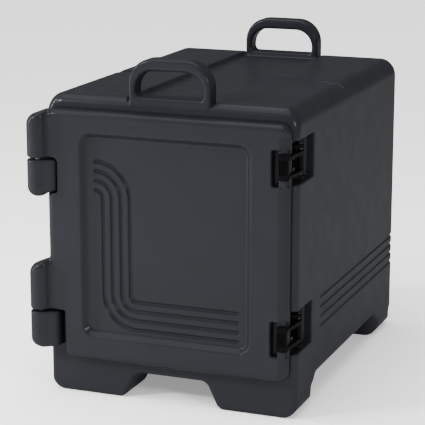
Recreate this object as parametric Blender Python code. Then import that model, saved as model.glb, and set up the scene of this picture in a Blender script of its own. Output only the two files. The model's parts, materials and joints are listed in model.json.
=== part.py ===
"""Front-loading insulated food-pan carrier.

A double-walled moulded body with a foam core, moulded handles, feet and pan rails, a foam-filled door
on two lift-off pin hinges, and two swing-lever latches. Metres, +Z up, the door faces -Y.

The carrier is laid out from its own datum: x = 0 is the body's middle plane, y = 0 the body's front
face, and the feet stand on z = FLOOR_Z. The empty "carrier" moves that datum so that the finished
object stands centred over the origin with its feet at z = 0.
"""
import math

import bmesh
import bpy
from mathutils import Vector

# ---- driving dimensions, in metres ---------------------------------------------------------------
GAP = 0.0003                      # clearance between pieces that touch

BODY_HALF_WIDTH = 0.229
BODY_DEPTH = 0.605
BODY_TOP = 0.531                  # top of the four raised pads
BODY_UNDERSIDE = 0.044
FLOOR_Z = -0.0025                 # underside of the feet
SKIN = 0.005                      # wall of the moulded shells
TOP_SIDE_RADIUS = 0.033
TOP_END_RADIUS = 0.020
REAR_CORNER_RADIUS = 0.027
FRONT_CORNER_RADIUS = 0.011
BOTTOM_RADIUS = 0.012

PAD_HEIGHT = 0.009                # the pads stand this far above the channels in the top
CHANNEL_HALF_WIDTH = 0.083
CHANNEL_SLOPE = 0.011
CROSS_GROOVE_Y = 0.320
CROSS_GROOVE_HALF_WIDTH = 0.022
CROSS_GROOVE_BEND = 1.2           # the groove's middle line is at y = CROSS_GROOVE_Y - bend * x^2

SIDE_GROOVE_LEVELS = [0.1285 + 0.0175 * step for step in range(4)]
SIDE_GROOVE_WIDTH = 0.006
SIDE_GROOVE_DEPTH = 0.0025
SIDE_GROOVE_START = 0.127

FOOT_TOP_INNER_X = 0.066
FOOT_BOTTOM_INNER_X = 0.088
FOOT_OUTER_X = 0.2287
FOOT_OUTER_RADIUS = 0.026         # under the foot, along its outer side
FRONT_FOOT_REAR_Y = (0.108, 0.099)         # at the top and at the bottom
REAR_FOOT_FRONT_Y = (0.476, 0.488)
REAR_FOOT_REAR_Y = (0.602, 0.597)
FOOT_CORNER_RADIUS = 0.010
FOOT_EDGE_RADIUS = 0.004

HANDLE_HALF_WIDTH = 0.074
HANDLE_TOP = 0.598
HANDLE_CORNER_RADIUS = 0.044
HANDLE_THICKNESS = 0.033
HANDLE_BASE_Z = 0.500
HANDLE_HOLE_HALF_WIDTH = 0.062
HANDLE_HOLE_Z = (0.533, 0.578)
HANDLE_HOLE_TOP_RADIUS = 0.033
HANDLE_HOLE_BOTTOM_RADIUS = 0.008
HANDLE_EDGE_RADIUS = 0.0045
HANDLE_INSET = 0.0006             # the handle's outer face lies this far inside the body's end face

CAVITY_HALF_WIDTH = 0.168
CAVITY_Z = (0.089, 0.486)
CAVITY_DEPTH = 0.560
RAIL_LEVELS = [0.150 + 0.070 * step for step in range(5)]
RAIL_REACH = 0.012
RAIL_HEIGHT = 0.010
RAIL_Y = (0.034, 0.540)

DOOR_HALF_WIDTH = 0.219
DOOR_Z = (0.066, 0.506)
DOOR_FRONT_Y = -0.024
DOOR_BACK_Y = -0.003
DOOR_EDGE_RADIUS = 0.014
DOOR_CORNER_RADIUS = 0.018
PLUG_CLEARANCE = 0.003            # between the door's insulating plug and the mouth of the cavity
PLUG_DEPTH = 0.024
PLUG_DRAFT = 0.004
PANEL_HALF_WIDTH = 0.1545
PANEL_Z = (0.110, 0.470)
PANEL_CORNER_RADIUS = 0.022
PANEL_DEPTH = 0.009
PANEL_DRAFT = 0.0085              # the recess narrows by this much all round towards its floor

TRIM_PITCH = 0.0167               # between the four nested grooves in the door's panel
TRIM_WIDTH = 0.005
TRIM_DEPTH = 0.0022
TRIM_START_X = -0.129
TRIM_END_X = 0.129
TRIM_UPPER_CENTRE = (-0.129, 0.3567)
TRIM_UPPER_RADIUS = 0.0630        # the outermost groove's upper bend
TRIM_LOWER_CENTRE = (-0.054, 0.1900)
TRIM_LOWER_RADIUS = 0.0120        # the same groove's lower bend

GASKET_HALF_WIDTH = 0.1775        # to the middle of the gasket's section
GASKET_WIDTH = 0.010
GASKET_GROOVE_DEPTH = 0.004
GASKET_Z_MARGIN = 0.012           # from the mouth's edge to the middle of the section

HINGE_X = -0.235
HINGE_Y = -0.020
KNUCKLE_RADIUS = 0.0185
UPPER_BODY_KNUCKLE_Z = (0.3525, 0.418)
LOWER_BODY_KNUCKLE_Z = (0.0815, 0.148)
UPPER_DOOR_KNUCKLE_Z = (0.422, 0.506)
LOWER_DOOR_KNUCKLE_Z = (0.152, 0.243)
KNUCKLE_TOP_SLOPE = 0.38
KNUCKLE_RIGHT_X = -0.202          # where the body's knuckle ends, inside the notch in the door
UPPER_NOTCH_RIGHT_X = -0.198
LOWER_NOTCH_RIGHT_X = -0.188      # the lower notch runs out through the door's lower corner
LOWER_NOTCH_CORNER_RADIUS = 0.008
NOTCH_CLEARANCE = 0.003           # under the upper body knuckle
PIN_RADIUS = 0.004
PIN_BELOW = 0.045                 # hinge pin's length below and above the gap between the knuckles
PIN_ABOVE = 0.036
BUSHING_RADIUS = 0.0065
BUSHING_END = 0.003

LATCH_LEVELS = {"upper": 0.438, "lower": 0.147}
SIDE_POCKET_FLOOR_X = 0.211
SIDE_POCKET_DEPTH_Y = 0.084
SIDE_POCKET_RISE = 0.003          # the side pocket's middle is this far above the latch's
SIDE_POCKET_HALF_HEIGHT = 0.0375
DOOR_POCKET_LEFT_X = 0.190
DOOR_POCKET_FLOOR_Y = -0.0085
DOOR_POCKET_RISE = -0.004
DOOR_POCKET_HALF_HEIGHT = 0.031
KEEPER_X = (0.2015, 0.2155)
KEEPER_FRONT_Y = -0.022
LATCH_PIVOT = (0.221, 0.032)
LATCH_BARREL_RADIUS = 0.006
LATCH_BARREL_HALF_HEIGHT = 0.0195
LATCH_PIN_RADIUS = 0.003
LATCH_EAR_RADIUS = 0.0065
LATCH_EAR_INNER = 0.0225          # from the latch's middle to each ear; the pin shows in between
LATCH_EAR_THICKNESS = 0.007
LATCH_PLATE_THICKNESS = 0.003
LATCH_PLATE_Y = (0.006, 0.048)
LATCH_PLATE_HALF_HEIGHT = 0.031
LATCH_ARM_Z = (0.0125, 0.0195)
LATCH_ARM_INNER_X = (0.2200, 0.2205)       # at the door's edge and at the pivot
LATCH_ARM_OUTER_X = (0.2255, 0.2270)
LATCH_BAR_X = (0.2035, 0.2195)
LATCH_BAR_Y = (-0.031, -0.0223)
LATCH_BAR_HALF_HEIGHT = 0.022
LATCH_RIB_COUNT = 4
LATCH_RIB_RADIUS = 0.0013
SCREW_Y = 0.014
SCREW_OFFSET_Z = 0.011
SCREW_HEAD_RADIUS = 0.0045
SCREW_HEAD_HEIGHT = 0.0026
SCREW_SHANK_RADIUS = 0.0024
SCREW_LENGTH = 0.014
INSERT_RADIUS = 0.0042
INSERT_LENGTH = 0.0115

PORT_RADIUS = 0.012
PORT_HEAD_RADIUS = 0.016
PORT_HEAD_THICKNESS = 0.003
BODY_PORT_Z = 0.300
DOOR_PORT_RADIUS = 0.005
DOOR_PORT_HEAD_RADIUS = 0.007
DOOR_PORT_Y = -0.0135

SEGMENTS = 24                     # sides of a round piece
FILLET_STEPS = 4                  # flats in a quarter-round edge

# the finished object's extremes in the carrier's own datum, which centre it over the origin
X_LOW = HINGE_X - KNUCKLE_RADIUS
X_HIGH = BODY_HALF_WIDTH
Y_LOW = HINGE_Y - KNUCKLE_RADIUS
Y_HIGH = BODY_DEPTH


# ---- general helpers -----------------------------------------------------------------------------
def clear_scene():
    for thing in list(bpy.data.objects):
        bpy.data.objects.remove(thing, do_unlink=True)


def make_material(name, colour, roughness, metallic=0.0):
    material = bpy.data.materials.new(name)
    material.use_nodes = True
    shader = material.node_tree.nodes["Principled BSDF"]
    shader.inputs["Base Color"].default_value = (*colour, 1.0)
    shader.inputs["Roughness"].default_value = roughness
    shader.inputs["Metallic"].default_value = metallic
    return material


def new_object(name, bm):
    """Turn a closed bmesh into an object, faces pointing out."""
    bmesh.ops.recalc_face_normals(bm, faces=bm.faces)
    mesh = bpy.data.meshes.new(name)
    bm.to_mesh(mesh)
    bm.free()
    made = bpy.data.objects.new(name, mesh)
    bpy.context.collection.objects.link(made)
    return made


def bake(target):
    """Replace an object's mesh with what its modifiers make of it."""
    bpy.context.view_layer.update()
    depsgraph = bpy.context.evaluated_depsgraph_get()
    mesh = bpy.data.meshes.new_from_object(target.evaluated_get(depsgraph))
    target.modifiers.clear()
    target.data = mesh


def combine(target, other, operation):
    """Join a solid to the target, or cut it away, and remove it."""
    modifier = target.modifiers.new(operation.lower(), "BOOLEAN")
    modifier.operation = operation
    modifier.object = other
    bake(target)
    bpy.data.objects.remove(other, do_unlink=True)
    return target


def join(target, *others):
    for other in others:
        combine(target, other, "UNION")
    return target


def cut(target, *others):
    for other in others:
        combine(target, other, "DIFFERENCE")
    return target


def to_space(axis, a, b, along):
    """A point of a profile: (y, z) along x, (x, z) along y, or (x, y) along z."""
    return {"x": (along, a, b), "y": (a, along, b), "z": (a, b, along)}[axis]


def prism(name, outline, axis, low, high):
    """Extrude a closed outline between two levels of an axis."""
    bm = bmesh.new()
    lower = [bm.verts.new(to_space(axis, a, b, low)) for a, b in outline]
    upper = [bm.verts.new(to_space(axis, a, b, high)) for a, b in outline]
    bm.faces.new(lower)
    bm.faces.new(upper)
    count = len(outline)
    for i in range(count):
        j = (i + 1) % count
        bm.faces.new((lower[i], lower[j], upper[j], upper[i]))
    return new_object(name, bm)


def block(name, low, high):
    outline = [(low[0], low[1]), (high[0], low[1]), (high[0], high[1]), (low[0], high[1])]
    return prism(name, outline, "z", low[2], high[2])


def arc(centre, radius, start, end, steps=FILLET_STEPS):
    """Points along an arc, its angles in degrees."""
    angles = [math.radians(start + (end - start) * i / steps) for i in range(steps + 1)]
    return [(centre[0] + radius * math.cos(t), centre[1] + radius * math.sin(t)) for t in angles]


def circle(centre, radius, count=SEGMENTS):
    return arc(centre, radius, 0, 360 * (count - 1) / count, count - 1)


def rounded_rectangle(low, high, radii):
    """Outline with radii for the corners low-low, high-low, high-high and low-high."""
    corners = [(low[0], low[1], 180, 1, 1), (high[0], low[1], 270, -1, 1),
               (high[0], high[1], 0, -1, -1), (low[0], high[1], 90, 1, -1)]
    points = []
    for (a, b, start, toward_a, toward_b), radius in zip(corners, radii):
        centre = (a + toward_a * radius, b + toward_b * radius)
        points += arc(centre, radius, start, start + 90)
    return points


def hull_outline(points):
    """Convex outline round a set of points, anticlockwise."""
    ordered = sorted(set(points))

    def half(sequence):
        chain = []
        for p in sequence:
            while len(chain) > 1:
                (ax, ay), (bx, by) = chain[-2], chain[-1]
                if (bx - ax) * (p[1] - ay) - (by - ay) * (p[0] - ax) > 1e-12:
                    break
                chain.pop()
            chain.append(p)
        return chain[:-1]

    return half(ordered) + half(ordered[::-1])


def cylinder(name, axis, centre, radius, low, high, count=SEGMENTS):
    return prism(name, circle(centre, radius, count), axis, low, high)


def bevel_edges(target, radius, choose, steps=2):
    """Round the edges whose midpoint and direction the chooser accepts."""
    bm = bmesh.new()
    bm.from_mesh(target.data)
    edges = [e for e in bm.edges
             if choose((e.verts[0].co + e.verts[1].co) / 2, (e.verts[1].co - e.verts[0].co).normalized())]
    bmesh.ops.bevel(bm, geom=edges, offset=radius, segments=steps, profile=0.5,
                    affect="EDGES", clamp_overlap=True)
    bmesh.ops.recalc_face_normals(bm, faces=bm.faces)
    bm.to_mesh(target.data)
    bm.free()
    return target


def rounded_block(name, low, high, edge_radius):
    """A block whose twelve edges have their own radii, given by edge_radius(direction, side)."""
    solid = block(name, low, high)
    middle = (Vector(low) + Vector(high)) / 2
    mesh = solid.data
    radii = []
    for edge in mesh.edges:
        a, b = (mesh.vertices[i].co for i in edge.vertices)
        step = b - a
        direction = "xyz"[max(range(3), key=lambda i: abs(step[i]))]
        side = tuple(1 if c > 0 else -1 for c in (a + b) / 2 - middle)
        radii.append(edge_radius(direction, side))
    largest = max(radii)
    weights = mesh.attributes.new("bevel_weight_edge", "FLOAT", "EDGE")
    for weight, radius in zip(weights.data, radii):
        weight.value = radius / largest
    bevel = solid.modifiers.new("edges", "BEVEL")
    bevel.limit_method = "WEIGHT"
    bevel.width = largest
    bevel.segments = FILLET_STEPS
    bevel.use_clamp_overlap = False
    bake(solid)
    return solid


def finish(target, material, parent, smooth=False):
    target.data.materials.clear()
    target.data.materials.append(material)
    if smooth:
        target.data.shade_smooth()
        target.data.set_sharp_from_angle(angle=math.radians(35))
    target.parent = parent
    return target


def set_origin(target, point):
    """Put an object's origin at a point without moving its shape."""
    for vertex in target.data.vertices:
        vertex.co -= Vector(point)
    target.location = point
    return target


# ---- the body ------------------------------------------------------------------------------------
def body_edge_radius(direction, side):
    if direction == "z":
        return REAR_CORNER_RADIUS if side[1] > 0 else FRONT_CORNER_RADIUS
    if side[2] < 0:
        return FRONT_CORNER_RADIUS if side[1] < 0 and direction == "x" else BOTTOM_RADIUS
    return TOP_END_RADIUS if direction == "x" else TOP_SIDE_RADIUS


def foot(side, front):
    """One tapered foot; side is 1 on the right and -1 on the left."""
    if front:
        y_top = (0.001, FRONT_FOOT_REAR_Y[0])
        y_bottom = (0.002, FRONT_FOOT_REAR_Y[1])
    else:
        y_top = (REAR_FOOT_FRONT_Y[0], REAR_FOOT_REAR_Y[0])
        y_bottom = (REAR_FOOT_FRONT_Y[1], REAR_FOOT_REAR_Y[1])
    top_z = BODY_UNDERSIDE + BOTTOM_RADIUS + SKIN
    spread = (top_z - FLOOR_Z) / (BODY_UNDERSIDE - FLOOR_Z)
    inner_top = FOOT_BOTTOM_INNER_X + (FOOT_TOP_INNER_X - FOOT_BOTTOM_INNER_X) * spread
    y_high = [b + (t - b) * spread for b, t in zip(y_bottom, y_top)]
    bm = bmesh.new()
    rings = []
    for level, inner, ys in ((FLOOR_Z, FOOT_BOTTOM_INNER_X, y_bottom), (top_z, inner_top, y_high)):
        corners = [(inner, ys[0]), (FOOT_OUTER_X, ys[0]), (FOOT_OUTER_X, ys[1]), (inner, ys[1])]
        rings.append([bm.verts.new((side * x, y, level)) for x, y in corners])
    bm.faces.new(rings[0])
    bm.faces.new(rings[1])
    for i in range(4):
        j = (i + 1) % 4
        bm.faces.new((rings[0][i], rings[0][j], rings[1][j], rings[1][i]))
    made = new_object("foot", bm)
    bevel_edges(made, FOOT_OUTER_RADIUS,
                lambda middle, way: middle.z < FLOOR_Z + 1e-4 and abs(middle.x) > FOOT_OUTER_X - 1e-4)
    bevel_edges(made, FOOT_CORNER_RADIUS, lambda middle, way: abs(way.z) > 0.8)
    return bevel_edges(made, FOOT_EDGE_RADIUS, lambda middle, way: middle.z < FLOOR_Z + 1e-4)


def handle(y_low):
    """An upright arched loop handle, its base sunk into the body's top."""
    outer = rounded_rectangle((-HANDLE_HALF_WIDTH, HANDLE_BASE_Z), (HANDLE_HALF_WIDTH, HANDLE_TOP),
                              (0.001, 0.001, HANDLE_CORNER_RADIUS, HANDLE_CORNER_RADIUS))
    hole = rounded_rectangle((-HANDLE_HOLE_HALF_WIDTH, HANDLE_HOLE_Z[0]),
                             (HANDLE_HOLE_HALF_WIDTH, HANDLE_HOLE_Z[1]),
                             (HANDLE_HOLE_BOTTOM_RADIUS, HANDLE_HOLE_BOTTOM_RADIUS,
                              HANDLE_HOLE_TOP_RADIUS, HANDLE_HOLE_TOP_RADIUS))
    y_high = y_low + HANDLE_THICKNESS
    made = prism("handle", outer, "y", y_low, y_high)
    cut(made, prism("hole", hole, "y", y_low - 0.01, y_high + 0.01))

    def on_rim(middle, way):
        at_face = min(abs(middle.y - y_low), abs(middle.y - y_high)) < 1e-5
        return at_face and abs(way.y) < 0.1 and middle.z > HANDLE_BASE_Z + 0.002

    return bevel_edges(made, HANDLE_EDGE_RADIUS, on_rim)


def body_knuckle(z_range):
    """The body's half of a hinge: a barrel with a web that runs back into the body's corner."""
    outline = hull_outline(circle((HINGE_X, HINGE_Y), KNUCKLE_RADIUS)
                           + [(KNUCKLE_RIGHT_X, HINGE_Y), (KNUCKLE_RIGHT_X, 0.010),
                              (-BODY_HALF_WIDTH, 0.012)])
    made = prism("knuckle", outline, "z", *z_range)
    return bevel_edges(made, 0.012, lambda middle, way: middle.z < z_range[0] + 1e-5, 3)


def channel_cutter():
    """The long channel between the left and right pads of the top."""
    floor = BODY_TOP - PAD_HEIGHT
    inner = CHANNEL_HALF_WIDTH - CHANNEL_SLOPE
    rise = 0.02
    outer = CHANNEL_HALF_WIDTH + CHANNEL_SLOPE * (rise - PAD_HEIGHT) / PAD_HEIGHT
    outline = [(-inner, floor), (inner, floor), (outer, floor + rise), (-outer, floor + rise)]
    return prism("channel", outline, "y", -0.01, BODY_DEPTH + 0.01)


def cross_groove_cutter():
    """The bowed groove that runs across the top between the front and rear pads."""
    count = 12
    reach = BODY_HALF_WIDTH + 0.01
    xs = [reach * (2 * i / count - 1) for i in range(count + 1)]

    def edge(offset):
        return [(x, CROSS_GROOVE_Y - CROSS_GROOVE_BEND * x * x + offset) for x in xs]

    outline = edge(-CROSS_GROOVE_HALF_WIDTH) + edge(CROSS_GROOVE_HALF_WIDTH)[::-1]
    return prism("cross_groove", outline, "z", BODY_TOP - PAD_HEIGHT, BODY_TOP + 0.01)


def side_groove_cutter():
    """Four horizontal grooves that wrap round both sides and the back."""
    reach = BODY_HALF_WIDTH + 0.01
    comb = None
    for level in SIDE_GROOVE_LEVELS:
        slab = block("slab", (-reach, SIDE_GROOVE_START, level - SIDE_GROOVE_WIDTH / 2),
                     (reach, BODY_DEPTH + 0.01, level + SIDE_GROOVE_WIDTH / 2))
        comb = slab if comb is None else join(comb, slab)
    inset = BODY_HALF_WIDTH - SIDE_GROOVE_DEPTH
    rear_radius = REAR_CORNER_RADIUS - SIDE_GROOVE_DEPTH
    core = rounded_rectangle((-inset, 0.05), (inset, BODY_DEPTH - SIDE_GROOVE_DEPTH),
                             (0.001, 0.001, rear_radius, rear_radius))
    return cut(comb, prism("core", core, "z", 0.05, 0.25))


def side_pocket(level, grow=0.0):
    """The recess in the body's right front corner that holds a latch."""
    half = SIDE_POCKET_HALF_HEIGHT + grow
    middle = level + SIDE_POCKET_RISE
    return block("pocket", (SIDE_POCKET_FLOOR_X - grow, -0.01, middle - half),
                 (BODY_HALF_WIDTH + 0.01, SIDE_POCKET_DEPTH_Y + grow, middle + half))


def cavity_cutter(grow=0.0, rails=True):
    """The food compartment, open at the front; the pan rails are left standing in it."""
    half = CAVITY_HALF_WIDTH + grow
    made = block("cavity", (-half, -0.02, CAVITY_Z[0] - grow),
                 (half, CAVITY_DEPTH + grow, CAVITY_Z[1] + grow))
    if not rails:
        return made
    for level in RAIL_LEVELS:
        for side in (-1, 1):
            xs = sorted((side * (half + 0.01), side * (half - RAIL_REACH)))
            rail = block("rail", (xs[0], RAIL_Y[0], level - RAIL_HEIGHT / 2),
                         (xs[1], RAIL_Y[1], level + RAIL_HEIGHT / 2))
            cut(made, rail)
    return made


def body_foam(name, inset):
    """The space between the body's outer skin and its liner, drawn in by a further inset."""
    wall = SKIN + inset
    x = BODY_HALF_WIDTH - wall
    floor = BODY_TOP - PAD_HEIGHT
    made = block(name, (-x, wall, BODY_UNDERSIDE + wall), (x, BODY_DEPTH - wall, floor - wall))
    top_edge = TOP_SIDE_RADIUS * 0.6
    bevel_edges(made, top_edge, lambda middle, way: abs(way.y) > 0.5 and middle.z > 0.4)
    bevel_edges(made, REAR_CORNER_RADIUS * 0.5,
                lambda middle, way: abs(way.z) > 0.5 and middle.y > 0.4)
    for side in (-1, 1):
        for y_range in ((0.001 + wall, FRONT_FOOT_REAR_Y[1] - wall),
                        (REAR_FOOT_FRONT_Y[1] + wall, REAR_FOOT_REAR_Y[1] - wall)):
            outer_x = FOOT_OUTER_X - FOOT_OUTER_RADIUS - inset
            xs = sorted((side * (FOOT_BOTTOM_INNER_X + wall), side * outer_x))
            join(made, block("foot_foam", (xs[0], y_range[0], FLOOR_Z + wall), (xs[1], y_range[1], 0.060)))
    cut(made, cavity_cutter(wall, rails=False))
    for level in LATCH_LEVELS.values():
        boss_depth = INSERT_LENGTH + SKIN
        half = SCREW_OFFSET_Z + INSERT_RADIUS + SKIN
        cut(made, side_pocket(level, wall),
            block("boss", (SIDE_POCKET_FLOOR_X - boss_depth - inset, -0.01, level - half - inset),
                  (BODY_HALF_WIDTH, SCREW_Y + INSERT_RADIUS + wall, level + half + inset)))
    for y_low in (HANDLE_INSET, BODY_DEPTH - HANDLE_INSET - HANDLE_THICKNESS):
        half = HANDLE_HALF_WIDTH + inset
        cut(made, block("handle_root", (-half, y_low - 0.01, HANDLE_BASE_Z - SKIN - inset),
                        (half, y_low + HANDLE_THICKNESS + 0.01 + inset, BODY_TOP + 0.01)))
    return made


def make_body_shell():
    shell = rounded_block("body_shell", (-BODY_HALF_WIDTH, 0, BODY_UNDERSIDE),
                          (BODY_HALF_WIDTH, BODY_DEPTH, BODY_TOP), body_edge_radius)
    cut(shell, channel_cutter(), cross_groove_cutter(), side_groove_cutter())
    for side in (-1, 1):
        join(shell, foot(side, front=True), foot(side, front=False))
    rear_handle_y = BODY_DEPTH - HANDLE_INSET - HANDLE_THICKNESS
    join(shell, handle(HANDLE_INSET), handle(rear_handle_y))
    join(shell, body_knuckle(UPPER_BODY_KNUCKLE_Z), body_knuckle(LOWER_BODY_KNUCKLE_Z))
    cut(shell, cavity_cutter(), body_foam("void", 0.0))
    for level in LATCH_LEVELS.values():
        cut(shell, side_pocket(level))
        for z in (level - SCREW_OFFSET_Z, level + SCREW_OFFSET_Z):
            low = SIDE_POCKET_FLOOR_X - INSERT_LENGTH - GAP
            cut(shell, cylinder("insert_bore", "x", (SCREW_Y, z), INSERT_RADIUS + GAP,
                                low, SIDE_POCKET_FLOOR_X + 0.01))
    for seam in (UPPER_BODY_KNUCKLE_Z[1], LOWER_BODY_KNUCKLE_Z[1]):
        cut(shell, cylinder("pin_bore", "z", (HINGE_X, HINGE_Y), PIN_RADIUS + GAP,
                            seam - PIN_BELOW - GAP, seam + 0.01))
    back = BODY_DEPTH
    cut(shell, cylinder("port", "y", (0, BODY_PORT_Z), PORT_RADIUS, back - 0.02, back + 0.01),
        cylinder("port_seat", "y", (0, BODY_PORT_Z), PORT_HEAD_RADIUS + GAP,
                 back - PORT_HEAD_THICKNESS - GAP, back + 0.01))
    return shell


def make_body_foam():
    foam = body_foam("body_foam_core", GAP)
    stem_end = BODY_DEPTH - SKIN - 2 * GAP
    return cut(foam, cylinder("stem_room", "y", (0, BODY_PORT_Z), PORT_RADIUS + GAP,
                              stem_end - GAP, BODY_DEPTH))


def make_body_fill_plug():
    back = BODY_DEPTH
    head = cylinder("body_fill_plug", "y", (0, BODY_PORT_Z), PORT_HEAD_RADIUS,
                    back - PORT_HEAD_THICKNESS, back - GAP)
    stem = cylinder("stem", "y", (0, BODY_PORT_Z), PORT_RADIUS - GAP, back - SKIN, back - 0.001)
    return join(head, stem)


# ---- the door ------------------------------------------------------------------------------------
def door_edge_radius(direction, side):
    if direction == "y":
        return DOOR_CORNER_RADIUS
    return DOOR_EDGE_RADIUS if side[1] < 0 else 0.002


def plug_solid(inset, depth):
    """The insulating plug behind the door, tapered so that it swings out of the mouth."""
    half = CAVITY_HALF_WIDTH - PLUG_CLEARANCE - inset
    z_low = CAVITY_Z[0] + PLUG_CLEARANCE + inset
    z_high = CAVITY_Z[1] - PLUG_CLEARANCE - inset
    bm = bmesh.new()
    rings = []
    for y, draft in ((DOOR_BACK_Y - 0.006, 0.0), (depth, PLUG_DRAFT)):
        corners = [(-half + draft, z_low + draft), (half - draft, z_low + draft),
                   (half - draft, z_high - draft), (-half + draft, z_high - draft)]
        rings.append([bm.verts.new((x, y, z)) for x, z in corners])
    bm.faces.new(rings[0])
    bm.faces.new(rings[1])
    for i in range(4):
        j = (i + 1) % 4
        bm.faces.new((rings[0][i], rings[0][j], rings[1][j], rings[1][i]))
    return new_object("plug", bm)


def panel_cutter(grow=0.0):
    """The recess in the door's front, its walls sloping in towards the floor."""
    outline = rounded_rectangle((-PANEL_HALF_WIDTH - grow, PANEL_Z[0] - grow),
                                (PANEL_HALF_WIDTH + grow, PANEL_Z[1] + grow),
                                [PANEL_CORNER_RADIUS] * 4)
    proud = 0.01
    slope = PANEL_DRAFT / PANEL_DEPTH
    made = prism("panel", outline, "y", DOOR_FRONT_Y - proud, DOOR_FRONT_Y + PANEL_DEPTH + grow)
    middle_z = (PANEL_Z[0] + PANEL_Z[1]) / 2
    half_height = (PANEL_Z[1] - PANEL_Z[0]) / 2
    for vertex in made.data.vertices:
        inset = slope * (vertex.co.y - DOOR_FRONT_Y)
        vertex.co.x *= 1 - inset / PANEL_HALF_WIDTH
        vertex.co.z = middle_z + (vertex.co.z - middle_z) * (1 - inset / half_height)
    return made


def trim_cutter(index):
    """One of the nested grooves: in from the left, down, and away to the right."""
    upper = TRIM_UPPER_RADIUS - TRIM_PITCH * index
    lower = TRIM_LOWER_RADIUS + TRIM_PITCH * index
    half = TRIM_WIDTH / 2

    def line(offset):
        top = TRIM_UPPER_CENTRE
        low = TRIM_LOWER_CENTRE
        return ([(TRIM_START_X, top[1] + upper + offset)]
                + arc(top, upper + offset, 90, 0, 6)
                + arc(low, lower - offset, 180, 270, 6)
                + [(TRIM_END_X, low[1] - lower + offset)])

    floor = DOOR_FRONT_Y + PANEL_DEPTH
    return prism("trim", line(-half) + line(half)[::-1], "y", floor - 0.01, floor + TRIM_DEPTH)


def door_pocket(level, grow=0.0):
    half = DOOR_POCKET_HALF_HEIGHT + grow
    middle = level + DOOR_POCKET_RISE
    return block("pocket", (DOOR_POCKET_LEFT_X - grow, DOOR_FRONT_Y - 0.02, middle - half),
                 (DOOR_HALF_WIDTH + 0.01, DOOR_POCKET_FLOOR_Y + grow, middle + half))


def keeper(level):
    """The upright ridge in a door pocket that the latch's bar bears on."""
    outline = rounded_rectangle((KEEPER_X[0], KEEPER_FRONT_Y), (KEEPER_X[1], DOOR_POCKET_FLOOR_Y + 0.004),
                                (0.004, 0.004, 0.0005, 0.0005))
    half = DOOR_POCKET_HALF_HEIGHT + 0.002
    middle = level + DOOR_POCKET_RISE
    return prism("keeper", outline, "z", middle - half, middle + half)


def door_knuckle(z_range):
    """The door's half of a hinge, with a top that rises towards the door."""
    outline = hull_outline(circle((HINGE_X, HINGE_Y), KNUCKLE_RADIUS)
                           + [(-0.208, DOOR_FRONT_Y + 0.0005), (-0.208, DOOR_BACK_Y - 0.0005)])
    made = prism("knuckle", outline, "z", *z_range)
    for vertex in made.data.vertices:
        if vertex.co.z > z_range[0] + 1e-5:
            vertex.co.z += KNUCKLE_TOP_SLOPE * (vertex.co.x + DOOR_HALF_WIDTH - 0.003)
            vertex.co.z = min(vertex.co.z, z_range[1])
    return made


def notches(grow=0.0):
    """Room in the door's hinge edge for the body's two knuckles."""
    low = UPPER_BODY_KNUCKLE_Z[0] - NOTCH_CLEARANCE - grow
    upper = block("notch", (-DOOR_HALF_WIDTH - 0.05, -0.06, low),
                  (UPPER_NOTCH_RIGHT_X + grow, 0.01, UPPER_DOOR_KNUCKLE_Z[0] + grow))
    left = -DOOR_HALF_WIDTH - 0.05
    right = LOWER_NOTCH_RIGHT_X + grow
    bottom = DOOR_Z[0] + grow
    radius = LOWER_NOTCH_CORNER_RADIUS
    top = LOWER_DOOR_KNUCKLE_Z[0] + grow
    outline = ([(left, top), (right, top)]
               + arc((right + radius, bottom + radius), radius, 180, 270)
               + [(right + radius, bottom - 0.02), (left, bottom - 0.02)])
    return upper, prism("notch", outline, "y", -0.06, 0.01)


def gasket_ring(name, width, y_low, y_high):
    x = GASKET_HALF_WIDTH
    z = (CAVITY_Z[0] - GASKET_Z_MARGIN, CAVITY_Z[1] + GASKET_Z_MARGIN)
    half = width / 2
    outer = rounded_rectangle((-x - half, z[0] - half), (x + half, z[1] + half), [0.010] * 4)
    inner = rounded_rectangle((-x + half, z[0] + half), (x - half, z[1] - half), [0.004] * 4)
    ring = prism(name, outer, "y", y_low, y_high)
    return cut(ring, prism("inner", inner, "y", y_low - 0.01, y_high + 0.01))


def door_foam(name, inset):
    """The space inside the door: a thin layer behind the front skin, and the plug part."""
    wall = SKIN + inset
    front = DOOR_FRONT_Y + wall
    layer_back = DOOR_BACK_Y - GASKET_GROOVE_DEPTH - 0.003 - inset
    made = block(name, (-DOOR_HALF_WIDTH + 2 * wall, front, DOOR_Z[0] + 2 * wall),
                 (DOOR_HALF_WIDTH - 2 * wall, layer_back, DOOR_Z[1] - 2 * wall))
    root_x = CAVITY_HALF_WIDTH - inset
    root = block("root", (-root_x, front, CAVITY_Z[0] + inset),
                 (root_x, DOOR_BACK_Y - wall, CAVITY_Z[1] - inset))
    join(made, root, plug_solid(wall, PLUG_DEPTH - wall))
    cut(made, panel_cutter(wall))
    for level in LATCH_LEVELS.values():
        cut(made, door_pocket(level, wall))
    return cut(made, *notches(wall))


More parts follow.
